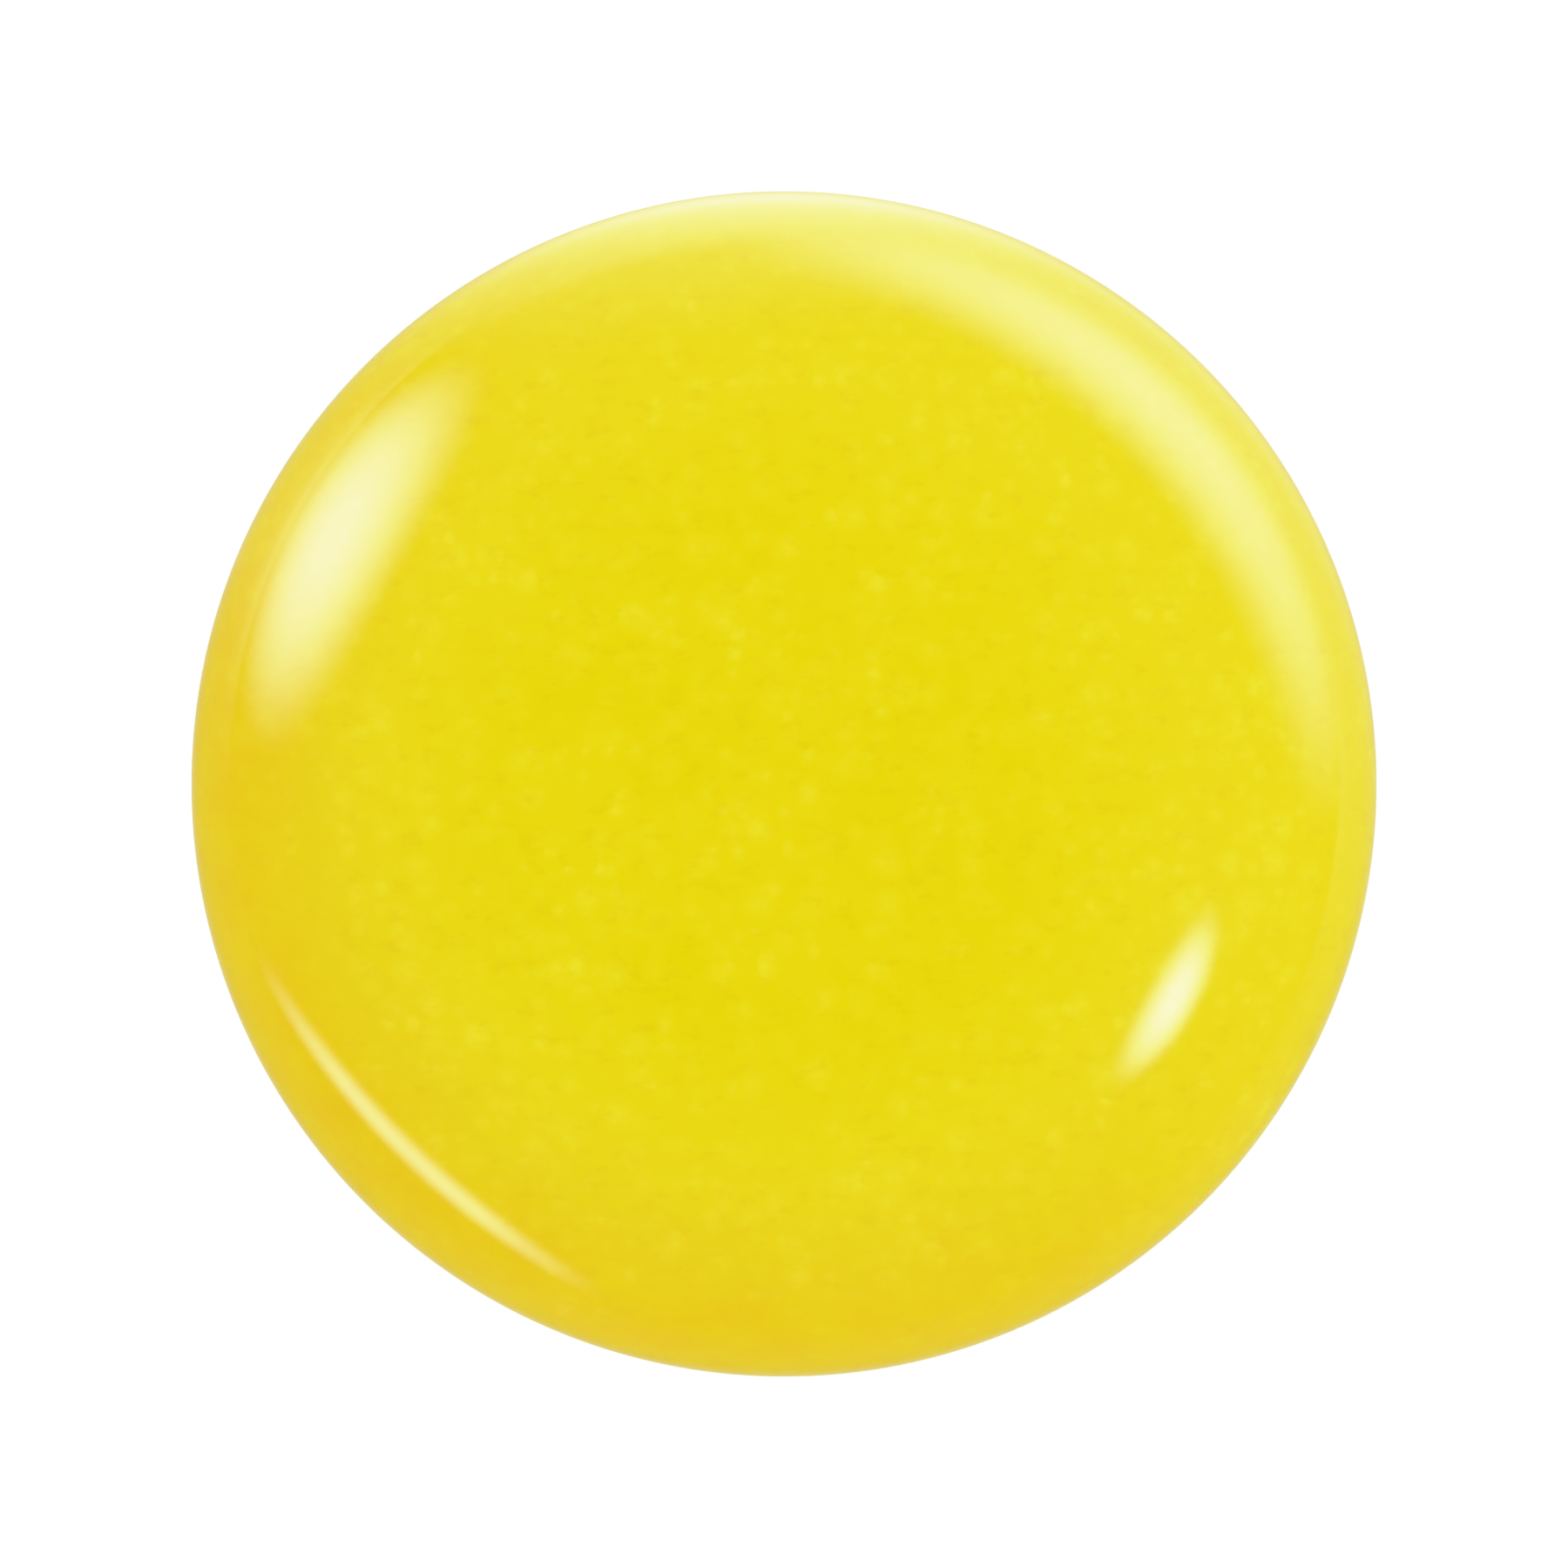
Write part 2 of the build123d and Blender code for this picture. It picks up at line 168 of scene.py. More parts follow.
    def set(self, **values):
        names = {
            "colour": "Base Color", "rough": "Roughness", "metal": "Metallic", "ior": "IOR",
            "normal": "Normal", "coat": "Coat Weight", "coat_rough": "Coat Roughness",
            "sss": "Subsurface Weight", "sss_radius": "Subsurface Radius", "sss_scale": "Subsurface Scale",
            "sheen": "Sheen Weight", "sheen_rough": "Sheen Roughness", "coat_normal": "Coat Normal",
            "specular": "Specular IOR Level", "aniso": "Anisotropic",
        }
        for k, v in values.items():
            socket = self.bsdf.inputs[names[k]]
            if isinstance(v, tuple) and len(v) == 3 and k == "colour":
                v = (*v, 1)
            self.feed(socket, v)
        return self.mat


# ----------------------------------------------------------------------------
# Materials
# ----------------------------------------------------------------------------

def cap_yellow():
    """Glossy yellow moulding: slightly translucent, faintly mottled, with painted warm shade where the wall turns
    away, stronger on the lower-left side.
    """
    t = Tree("cap_yellow_lacquer")
    p = t.coords()
    r = t.radius(p)
    x, y, z = t.split(p)
    base = (0.826, 0.686, 0.0006)
    pale = (0.880, 0.757, 0.0200)
    shade_amber = (0.820, 0.530, 0.0030)
    # pale pigment flecks, about half a millimetre, scattered singly, over faint larger clouds
    bent = t.node("ShaderNodeVectorMath", operation="MULTIPLY_ADD")
    t.feed(bent.inputs[0], t.noise(p, 1300.0, 2.0, 0.5, colour=True))
    bent.inputs[1].default_value = (0.0005,) * 3
    t.feed(bent.inputs[2], p)
    broken = t.span(t.noise(p, 2100.0, 2.0, 0.6), 0.34, 0.60, 0.30, 1.0, smooth=True)
    flecks = None
    for scale, reach, least in ((640.0, 0.66, 0.10), (1150.0, 0.68, 0.25)):
        dot = t.node("ShaderNodeTexVoronoi", feature="F1")
        t.feed(dot.inputs["Vector"], bent.outputs[0])
        dot.inputs["Scale"].default_value = scale
        each = t.span(t.split(dot.outputs["Color"])[1], least, 1.0)
        near = t.span(dot.outputs["Distance"], 0.0, reach, 1.0, 0.0, smooth=True)
        each = t.math("MULTIPLY", each, near)
        each = t.math("MULTIPLY", each, broken)
        flecks = each if flecks is None else t.math("MAXIMUM", flecks, each)
    clouds = t.span(t.noise(p, 170.0, 3.0, 0.55), 0.35, 0.68, smooth=True)
    mottle = t.math("MULTIPLY", flecks, t.math("ADD", t.math("MULTIPLY", clouds, 0.62), 0.50))
    mottle = t.math("ADD", mottle, t.math("MULTIPLY", clouds, 0.08), clamp=True)
    # painted shade: a warmer, darker amber tone on the shoulder and, weaker, down the side, stronger toward the lower
    # left, broken up by blotches of uneven pigment
    shoulder_shade_mask = t.span(r, 16.0 * MM, 27.0 * MM, smooth=True)
    shoulder_shade_mask = t.math("MULTIPLY", shoulder_shade_mask, t.span(r, 25.7 * MM, 26.9 * MM, 1.0, 0.55))
    blotch = t.span(t.noise(p, 330.0, 3.0, 0.6), 0.30, 0.72)
    painted_warm_shade = t.math("MULTIPLY", shoulder_shade_mask, t.math("ADD", t.math("MULTIPLY", blotch, 0.5), 0.5))
    # the lower-left side gets more of the painted shade than the upper right
    lower_left_shade = t.span(t.math("ADD", t.math("MULTIPLY", x, -0.72), t.math("MULTIPLY", y, -0.70)), -16.0 * MM, 18.0 * MM, 0.06, 1.0, smooth=True)
    painted_warm_shade = t.math("MULTIPLY", t.math("MULTIPLY", painted_warm_shade, lower_left_shade), 0.80, clamp=True)
    colour = t.mix(mottle, base, pale)
    deep = t.span(t.noise(t.stretch(p, (1.0, 1.6, 1.0)), 900.0, 3.0, 0.6), 0.52, 0.74, 0.0, 0.42, smooth=True)
    colour = t.mix(deep, colour, (0.775, 0.610, 0.0010))
    # painted warm shade laid over the yellow
    colour = t.mix(painted_warm_shade, colour, shade_amber)
    # a few tiny dark specks of pigment
    cell = t.node("ShaderNodeTexVoronoi", feature="F1")
    t.feed(cell.inputs["Vector"], t.stretch(p, (1.0, 1.0, 0.6)))
    cell.inputs["Scale"].default_value = 150.0
    near = t.span(cell.outputs["Distance"], 0.016, 0.034, 1.0, 0.0, smooth=True)
    pick = t.split(cell.outputs["Color"])[0]
    pick = t.math("GREATER_THAN", pick, 0.93)
    speck = t.math("MULTIPLY", t.math("MULTIPLY", near, pick), 0.55)
    colour = t.mix(speck, colour, (0.42, 0.23, 0.01))
    # the striking band is finely blasted, and scuffed by other stones
    band = t.math("MULTIPLY", t.span(z, 8.75 * MM, 8.95 * MM, smooth=True), t.span(z, 12.1 * MM, 12.5 * MM, 1.0, 0.0, smooth=True))
    band = t.math("MULTIPLY", band, t.span(r, 26.85 * MM, 26.95 * MM))
    grain = t.noise(p, 5200.0, 2.0, 0.6)
    scuff = t.span(t.noise(t.stretch(p, (1.0, 1.0, 9.0)), 420.0, 4.0, 0.65), 0.56, 0.70, smooth=True)
    rough = t.math("ADD", t.math("MULTIPLY", band, 0.25), 0.075)
    rough = t.math("ADD", rough, t.math("MULTIPLY", t.math("MULTIPLY", band, scuff), 0.16))
    colour = t.mix(t.math("MULTIPLY", t.math("MULTIPLY", band, scuff), 0.16), colour, (0.86, 0.80, 0.28))
    # hair-fine marks and a very slight waviness in the gloss
    wave = t.noise(p, 120.0, 1.0, 0.4)
    n1 = t.bump(wave, 0.010 * MM, 1.0)
    n2 = t.bump(t.math("MULTIPLY", grain, band), 0.012 * MM, 1.0, n1)
    return t.set(colour=colour, rough=rough, ior=1.50, normal=n2, sss=0.10,
                 sss_radius=(1.0, 0.72, 0.06), sss_scale=0.25 * MM)


def body_granite(old):
    """Moulded body with a granite fleck: feldspar, quartz and dark mica, satin."""
    t = Tree("body_granite_fleck", old)
    p = t.coords()
    warp = t.noise(p, 900.0, 2.0, 0.5, colour=True)
    bent = t.node("ShaderNodeVectorMath", operation="MULTIPLY_ADD")
    t.feed(bent.inputs[0], warp)
    bent.inputs[1].default_value = (0.00035,) * 3
    t.feed(bent.inputs[2], p)
    q = bent.outputs[0]
    coarse = t.split(t.cells(q, 1900.0, output="Color"))[0]
    fine = t.split(t.cells(q, 4300.0, output="Color"))[1]
    tone = t.ramp(coarse, [(0.0, (0.085, 0.088, 0.095)), (0.17, (0.215, 0.222, 0.235)), (0.46, (0.300, 0.308, 0.320)),
                           (0.74, (0.430, 0.428, 0.425)), (0.90, (0.620, 0.610, 0.590)), (0.97, (0.420, 0.345, 0.315))], "CONSTANT")
    small = t.ramp(fine, [(0.0, (0.050, 0.052, 0.058)), (0.14, (0.300, 0.306, 0.318)), (0.80, (0.560, 0.555, 0.545))], "CONSTANT")
    colour = t.mix(0.42, tone, small)
    cloud = t.noise(p, 95.0, 3.0, 0.55)
    colour = t.mix(t.span(cloud, 0.3, 0.75, 0.0, 0.30), colour, (0.235, 0.245, 0.265))
    rough = t.span(fine, 0.0, 1.0, 0.40, 0.26)
    rough = t.math("ADD", rough, t.math("MULTIPLY", t.noise(p, 600.0, 3.0, 0.6), 0.08))
    texture = t.noise(p, 6500.0, 2.0, 0.6)
    n = t.bump(coarse, 0.006 * MM, 0.6)
    n = t.bump(texture, 0.010 * MM, 1.0, n)
    return t.set(colour=colour, rough=rough, ior=1.49, normal=n)


def seal_black(old):
    t = Tree("seal_black_elastomer", old)
    p = t.coords()
    dust = t.span(t.noise(p, 1400.0, 4.0, 0.65), 0.45, 0.80)
    colour = t.mix(dust, (0.016, 0.016, 0.018), (0.060, 0.058, 0.056))
    rough = t.span(t.noise(p, 2200.0, 3.0, 0.6), 0.3, 0.7, 0.52, 0.72)
    n = t.bump(t.noise(p, 7000.0, 2.0, 0.6), 0.012 * MM)
    return t.set(colour=colour, rough=rough, normal=n, sheen=0.15)


def turned(name, old, centre, colour, rough, rings=2600.0, depth=0.004, tint=None, spots=0.0):
    """Metal turned or brushed in rings about the piece's own upright axis."""
    t = Tree(name, old)
    p = t.coords()
    q = t.offset(p, (centre[0], centre[1], 0.0))
    r = t.radius(q)
    _, _, z = t.split(q)
    # rings in r on flat faces and in z on round ones, never quite even
    wobble = t.math("MULTIPLY", t.noise(q, 240.0, 3.0, 0.6), 0.0009)
    across = t.math("ADD", t.math("ADD", r, z), wobble)
    comb = t.node("ShaderNodeCombineXYZ")
    t.link(t.math("MULTIPLY", across, rings), comb.inputs[0])
    line = t.node("ShaderNodeTexNoise")
    line.inputs["Scale"].default_value = 3.0
    line.inputs["Detail"].default_value = 4.0
    line.inputs["Roughness"].default_value = 0.7
    t.link(comb.outputs[0], line.inputs["Vector"])
    lines = line.outputs["Fac"]
    patch = t.noise(p, 380.0, 3.0, 0.6)
    col = t.mix(t.span(patch, 0.35, 0.72), colour, tint or tuple(c * 0.86 for c in colour))
    if spots:
        mark = t.span(t.noise(p, 1500.0, 4.0, 0.7), 0.60, 0.72, smooth=True)
        col = t.mix(t.math("MULTIPLY", mark, spots), col, (0.30, 0.28, 0.26))
    rr = t.math("ADD", t.span(lines, 0.3, 0.7, rough - 0.06, rough + 0.07), t.math("MULTIPLY", patch, 0.05))
    n = t.bump(lines, depth * MM)
    return t.set(colour=col, rough=rr, metal=1.0, normal=n)


def ball_steel(old):
    """Polished bearing steel with faint, crossing run marks."""
    t = Tree("ball_bearing_steel", old)
    p = t.coords()
    a = t.noise(t.stretch(p, (1.0, 7.0, 1.0)), 900.0, 3.0, 0.7)
    b = t.noise(t.stretch(p, (8.0, 1.0, 3.0)), 700.0, 3.0, 0.7)
    mark = t.math("MAXIMUM", t.span(a, 0.62, 0.72, smooth=True), t.span(b, 0.63, 0.74, smooth=True))
    rough = t.math("ADD", t.math("MULTIPLY", mark, 0.10), 0.055)
    colour = t.mix(t.span(t.noise(p, 260.0, 2.0, 0.5), 0.35, 0.7), (0.680, 0.690, 0.705), (0.610, 0.618, 0.630))
    n = t.bump(mark, 0.0006 * MM)
    return t.set(colour=colour, rough=rough, metal=1.0, normal=n)


def wiper_felt(old):
    t = Tree("wiper_wool_felt", old)
    p = t.coords()
    q = t.node("ShaderNodeVectorMath", operation="MULTIPLY_ADD")
    t.feed(q.inputs[0], t.noise(p, 1500.0, 3.0, 0.6, colour=True))
    q.inputs[1].default_value = (0.0016,) * 3
    t.feed(q.inputs[2], p)
    fibre = t.noise(t.stretch(q.outputs[0], (1.0, 4.0, 1.0)), 3200.0, 4.0, 0.7)
    fibre2 = t.noise(t.stretch(q.outputs[0], (4.0, 1.0, 1.0)), 3000.0, 4.0, 0.7)
    f = t.math("MAXIMUM", fibre, fibre2)
    colour = t.mix(t.span(f, 0.42, 0.68), (0.34, 0.325, 0.29), (0.66, 0.64, 0.58))
    n = t.bump(f, 0.05 * MM)
    return t.set(colour=colour, rough=0.92, normal=n, sheen=0.4, sheen_rough=0.5)


def pad_foam():
    t = Tree("pad_closed_cell_foam")
    p = t.coords()
    cells = t.cells(p, 2300.0)
    big = t.cells(p, 1100.0)
    pore = t.math("MINIMUM", t.span(cells, 0.05, 0.45), t.span(big, 0.03, 0.30))
    colour = t.mix(pore, (0.010, 0.010, 0.011), (0.052, 0.053, 0.056))
    colour = t.mix(t.span(t.noise(p, 260.0, 3.0, 0.6), 0.35, 0.7, 0.0, 0.5), colour, (0.075, 0.075, 0.078))
    n = t.bump(pore, 0.06 * MM)
    return t.set(colour=colour, rough=0.86, normal=n)


def floor_pale():
    """Plain pale floor: a painted pool of white light round the stone with a painted soft shadow of the stone beneath
    it, and pale grey further out; dimmer in reflections, where it carries painted spill of the soft boxes; clear from
    below.
    """
    t = Tree("stage_floor_pale")
    t.t.nodes.remove(t.bsdf)
    diffuse = t.node("ShaderNodeBsdfDiffuse")
    path = t.node("ShaderNodeLightPath")
    camera, glossy = path.outputs["Is Camera Ray"], path.outputs["Is Glossy Ray"]
    p = t.coords()
    r = t.radius(p)
    x, y, _ = t.split(p)
    far = t.span(r, 0.05, 0.30)
    dull = t.mix(far, (0.26, 0.26, 0.26), (0.20, 0.20, 0.20))
    t.feed(diffuse.inputs[0], t.mix(glossy, (0.80, 0.80, 0.80), dull))
    # in reflections the floor also carries the spill of the soft boxes
    az = t.math("ARCTAN2", y, x)
    spill = None
    for middle, width, power, close in ((92, 25, 2.9, 3.65), (43, 36, 2.8, 1.0), (151, 15, 2.2, 0.25)):
        off = t.math("DIVIDE", t.math("SUBTRACT", az, math.radians(middle)), math.radians(width))
        bell = t.math("POWER", 2.718282, t.math("MULTIPLY", t.math("MULTIPLY", off, off), -1.0))
        bell = t.math("MULTIPLY", bell, t.span(r, 0.050, 0.22, close, power))
        # it ends at the soft box that it comes from
        along = t.math("ADD", t.math("MULTIPLY", x, math.cos(math.radians(middle))), t.math("MULTIPLY", y, math.sin(math.radians(middle))))
        bell = t.math("MULTIPLY", bell, t.span(along, 0.595, 0.605, 1.0, 0.0))
        spill = bell if spill is None else t.math("ADD", spill, bell)
    spill = t.math("MULTIPLY", spill, t.span(r, 0.030, 0.044, smooth=True))
    # and is bright close to the stone
    close = t.math("ADD", t.math("MULTIPLY", t.math("POWER", t.span(r, 0.0285, 0.046, 1.0, 0.0), 2.2), 0.7), t.span(r, 0.0280, 0.0318, 2.4, 0.0))
    close = t.math("MULTIPLY", close, t.span(r, 0.026, 0.0275))
    spill = t.math("MULTIPLY", t.math("ADD", spill, close), glossy)
    # what the camera sees: a painted pool of white light, and a painted soft shadow of the stone beneath it
    painted_light_pool = t.span(r, 0.054, 0.140, 1.9, 0.0, smooth=True)
    painted_stone_shadow = t.span(r, 0.0175, 0.0268, 0.10, 1.0, smooth=True)
    seen = t.math("MULTIPLY", t.math("MULTIPLY", painted_light_pool, painted_stone_shadow), camera)
    # and a little light under the stone and round it, for what looks up at it or faces it
    under = t.math("MULTIPLY", t.math("SUBTRACT", 1.0, camera), t.span(r, 0.020, 0.034, 0.30, 0.0, smooth=True))
    patches = t.span(t.noise(p, 82.0, 1.0, 0.4), 0.42, 0.62, 0.25, 2.6, smooth=True)
    under = t.math("MULTIPLY", under, t.mix(glossy, (1.0, 1.0, 1.0), patches))
    soft = t.math("MULTIPLY", path.outputs["Is Diffuse Ray"], t.span(r, 0.028, 0.040, 0.0, 0.34, smooth=True))
    under = t.math("ADD", under, soft)
    glow = t.node("ShaderNodeEmission")
    t.link(t.math("ADD", t.math("ADD", seen, spill), under), glow.inputs["Strength"])
    add = t.node("ShaderNodeAddShader")
    t.link(diffuse.outputs[0], add.inputs[0])
    t.link(glow.outputs[0], add.inputs[1])
    clear = t.node("ShaderNodeBsdfTransparent")
    sides = t.node("ShaderNodeMixShader")
    t.link(t.node("ShaderNodeNewGeometry").outputs["Backfacing"], sides.inputs[0])
    t.link(add.outputs[0], sides.inputs[1])
    t.link(clear.outputs[0], sides.inputs[2])
    t.link(sides.outputs[0], t.out.inputs["Surface"])
    return t.mat


# ----------------------------------------------------------------------------
# Mesh tools
# ----------------------------------------------------------------------------

def lathe(name, profile, segments, phase=0.0):
    """Closed mesh of revolution. profile is a closed loop of (r, z) in mm, anticlockwise seen with r to the right, so that faces look outwards."""
    bm = bmesh.new()
    rings = []
    for r, z in profile:
        if r < 1e-9:
            rings.append([bm.verts.new((0, 0, z * MM))])
        else:
            rings.append([bm.verts.new((r * MM * math.cos(phase + 2 * math.pi * i / segments),
                                        r * MM * math.sin(phase + 2 * math.pi * i / segments), z * MM))
                          for i in range(segments)])
    for k in range(len(rings)):
        a, b = rings[k], rings[(k + 1) % len(rings)]
        if len(a) == 1 and len(b) == 1:
            continue
        for i in range(segments):
            j = (i + 1) % segments
            if len(a) == 1:
                bm.faces.new((a[0], b[j], b[i]))
            elif len(b) == 1:
                bm.faces.new((a[i], a[j], b[0]))
            else:
                bm.faces.new((a[i], a[j], b[j], b[i]))
    bmesh.ops.recalc_face_normals(bm, faces=bm.faces)
    mesh = bpy.data.meshes.new(name)
    bm.to_mesh(mesh)
    bm.free()
    obj = bpy.data.objects.new(name, mesh)
    bpy.context.scene.collection.objects.link(obj)
    return obj


def prism(name, centre, half, degrees, z0, z1):
    """Upright block: half sizes along and across, turned about Z."""
    bm = bmesh.new()
    a = math.radians(degrees)
    c, s = math.cos(a), math.sin(a)
    corners = [(-half[0], -half[1]), (half[0], -half[1]), (half[0], half[1]), (-half[0], half[1])]
    low = [bm.verts.new(((centre[0] + u * c - v * s) * MM, (centre[1] + u * s + v * c) * MM, z0 * MM)) for u, v in corners]
    top = [bm.verts.new((v.co.x, v.co.y, z1 * MM)) for v in low]
    bm.faces.new(low[::-1])
    bm.faces.new(top)
    for i in range(4):
        j = (i + 1) % 4
        bm.faces.new((low[i], low[j], top[j], top[i]))
    mesh = bpy.data.meshes.new(name)
    bm.to_mesh(mesh)
    bm.free()
    obj = bpy.data.objects.new(name, mesh)
    bpy.context.scene.collection.objects.link(obj)
    return obj


def shift(obj, x, y, z=0.0):
    from mathutils import Matrix
    obj.data.transform(Matrix.Translation((x * MM, y * MM, z * MM)))
    return obj


def combine(target, tool, operation):
    """target takes the result of a boolean with tool, and tool goes."""
    m = target.modifiers.new("join", "BOOLEAN")
    m.object = tool
    m.operation = operation
    m.solver = "MANIFOLD"
    bpy.context.view_layer.update()
    dg = bpy.context.evaluated_depsgraph_get()
    new = bpy.data.meshes.new_from_object(target.evaluated_get(dg))
    target.modifiers.clear()
    old = target.data
    target.data = new
    bpy.data.meshes.remove(old)
    bpy.data.objects.remove(tool)
    return target


def smooth(obj, degrees=32.0):
    for p in obj.data.polygons:
        p.use_smooth = True
    obj.data.set_sharp_from_angle(angle=math.radians(degrees))
    return obj


def give(obj, mat):
    obj.data.materials.clear()
    obj.data.materials.append(mat)
    return obj


def dress(node, mat):
    """A new material in a CAD node's own slots."""
    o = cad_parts[node]
    for s in o.material_slots:
        s.material = mat
    if not o.material_slots:
        o.data.materials.append(mat)


def arc(cx, cz, r, a0, a1, n, ends=True):
    pts = [(cx + r * math.cos(math.radians(a0 + (a1 - a0) * i / n)),
            cz + r * math.sin(math.radians(a0 + (a1 - a0) * i / n))) for i in range(n + 1)]
    return pts if ends else pts[1:-1]


# ----------------------------------------------------------------------------
# Sizes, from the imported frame
# ----------------------------------------------------------------------------

cap_lo, cap_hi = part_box("top_cap")
R = (cap_hi.x - cap_lo.x) / 2 / MM          # striking band radius, mm
TOP = cap_hi.z / MM                         # crown
SKIRT = cap_lo.z / MM                       # lower edge of the skirt
BAND_TOP, BAND_LOW = 12.5, 8.7
RISE = TOP - BAND_TOP
WALL = 2.0
POWER = 2.0 / 2.6
screws = []
units = []
for i in (1, 2, 3):
    lo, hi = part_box(f"case_screw_{i}")
    screws.append(((lo.x + hi.x) / 2 / MM, (lo.y + hi.y) / 2 / MM))
    lo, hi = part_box(f"roller_ball_{i}")
    units.append(((lo.x + hi.x) / 2 / MM, (lo.y + hi.y) / 2 / MM))
pad_lo, pad_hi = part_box("damping_pad")
PAD_LOW, PAD_TOP = pad_lo.z / MM, pad_hi.z / MM
PAD_R = (pad_hi.x - pad_lo.x) / 2 / MM


def dome(radius, rise, base, n):
    """Crown and shoulder from the middle outwards, closer points on the shoulder."""
    pts = []
    for i in range(n + 1):
        a = math.pi / 2 * i / n
        pts.append((radius * math.sin(a) ** POWER if i else 0.0, base + rise * math.cos(a)))
    pts[-1] = (radius, base)
    return pts


# ----------------------------------------------------------------------------
# Top cap: smooth shell, screw bosses with pilot holes, gussets, press ring
# ----------------------------------------------------------------------------

def make_cap():
    lip = 0.8
    inner = R - WALL
    profile = dome(R, RISE, BAND_TOP, 120)
    profile += [(R, BAND_TOP - 3.8 * k / 8) for k in range(1, 8)]
    profile += arc(R - lip, SKIRT + lip, lip, 0, -90, 10)
    profile += [(inner + 0.12, SKIRT), (inner, SKIRT + 0.12)]
    profile += [(inner, SKIRT + 0.12 + (BAND_TOP - SKIRT - 0.12) * k / 6) for k in range(1, 6)]
    profile += dome(inner, RISE - WALL, BAND_TOP, 60)[::-1]
    cap = lathe("cap_shell", profile, 288)
    # bosses, gussets and ring stand on the inside of the shell, and end inside its wall
    core = lathe("cap_core", [(0, SKIRT + 0.1), (inner + 0.6, SKIRT + 0.1), (inner + 0.6, BAND_TOP)]
                 + dome(inner + 0.6, RISE - WALL + 0.6, BAND_TOP, 48)[::-1][1:], 192)
    stock = None
    for (x, y), a in zip(screws, (30.0, 150.0, 270.0)):
        foot = 8.2
        boss = lathe("boss", [(0, foot), (2.95, foot), (3.1, foot + 0.15), (3.1, TOP + 1), (0, TOP + 1)], 64)
        shift(boss, x, y)
        c, s = math.cos(math.radians(a)), math.sin(math.radians(a))
        rib = prism("rib", (x + 4.2 * c, y + 4.2 * s), (4.2, 0.55), a, 12.0, TOP + 1)
        combine(boss, rib, "UNION")
        stock = boss if stock is None else combine(stock, boss, "UNION")
    ring = lathe("ring", [(8.0, PAD_TOP + 0.12), (8.12, PAD_TOP), (9.08, PAD_TOP), (9.2, PAD_TOP + 0.12), (9.2, TOP + 1), (8.0, TOP + 1)], 128)
    combine(stock, ring, "UNION")
    combine(stock, core, "INTERSECT")
    combine(cap, stock, "UNION")
    for x, y in screws:
        pilot = lathe("pilot", [(0, 7.0), (1.35, 7.0), (1.35, 8.2), (1.10, 8.45), (1.10, 15.6), (0, 15.95)], 40)
        combine(cap, shift(pilot, x, y), "DIFFERENCE")
    cap.name = cap.data.name = "cap_shell"
    smooth(cap)
    give(cap, cap_yellow())
    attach(cap, "stone")
    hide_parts("top_cap")
    return cap


# ----------------------------------------------------------------------------
# Damping pad: foam disc, bulged at its edge and dented by the cap's ring
# ----------------------------------------------------------------------------

def make_pad():
    h = PAD_TOP - PAD_LOW
    mid = (PAD_TOP + PAD_LOW) / 2
    out = [(0, PAD_LOW)]
    out += [(r, PAD_LOW) for r in (3.0, 6.0, 9.0, PAD_R - 0.9)]
    # edge: pulled in where the foam is held, swelling between
    for k in range(0, 13):
        s = k / 12
        a = math.pi * (s - 0.5)
        out.append((PAD_R - 0.55 + 0.55 * math.cos(a) ** 0.7, mid + (h / 2) * math.sin(a)))
    top = []
    r = PAD_R - 0.9
    while r > 0.2:
        # level with the ring where it bears, swelling a little between, and flat in the middle
        away = abs(r - 8.6)
        dip = 0.0 if away < 0.62 else 0.0
        swell = 0.34 * (1 - math.exp(-((max(0.0, away - 0.62)) / 0.9) ** 2))
        swell *= 1.0 if r < 8.6 else max(0.0, min(1.0, (PAD_R - r) / 1.6))
        top.append((r, PAD_TOP - 0.34 + swell + dip))
        r -= 0.28
    top.append((0, PAD_TOP))
    pad = lathe("foam_pad", out + top, 160)
    smooth(pad, 40)
    give(pad, pad_foam())
    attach(pad, "stone")
    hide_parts("damping_pad")
    return pad


cap = make_cap()
pad = make_pad()

# ----------------------------------------------------------------------------
# Better materials on the CAD pieces
# ----------------------------------------------------------------------------

dress("base_body", body_granite(None))
dress("seam_seal", seal_black(None))
dress("ballast_disc", turned("ballast_turned_steel", None, (0, 0), (0.56, 0.57, 0.58), 0.30, 1500.0, 0.010, (0.50, 0.52, 0.56), 0.35))
dress("ballast_screw", turned("screw_zinc_m3", None, (0, 0), (0.70, 0.71, 0.73), 0.26, 3200.0, 0.002, (0.60, 0.63, 0.68)))
balls = ball_steel(None)
felt = wiper_felt(None)
for i in (1, 2, 3):
    sx, sy = screws[i - 1]
    ux, uy = units[i - 1]
    s_at, u_at = (sx * MM, sy * MM), (ux * MM, uy * MM)
    dress(f"case_screw_{i}", turned(f"screw_zinc_{i}", None, s_at, (0.70, 0.71, 0.73), 0.26, 3200.0, 0.002, (0.60, 0.63, 0.68)))
    dress(f"roller_retainer_{i}", turned(f"retainer_nickel_{i}", None, u_at, (0.72, 0.69, 0.64), 0.17, 2400.0, 0.003, (0.66, 0.62, 0.56)))
    dress(f"roller_housing_{i}", turned(f"housing_zinc_{i}", None, u_at, (0.60, 0.61, 0.63), 0.34, 1300.0, 0.004, (0.52, 0.54, 0.58), 0.25))
    dress(f"roller_race_{i}", turned(f"race_ground_steel_{i}", None, u_at, (0.50, 0.50, 0.51), 0.20, 4200.0, 0.002, (0.42, 0.42, 0.44)))
    dress(f"roller_wiper_{i}", felt)
    dress(f"roller_support_balls_{i}", balls)
    dress(f"roller_ball_{i}", balls)


# ----------------------------------------------------------------------------
# Stage: pale floor, soft studio light, camera straight above
# ----------------------------------------------------------------------------

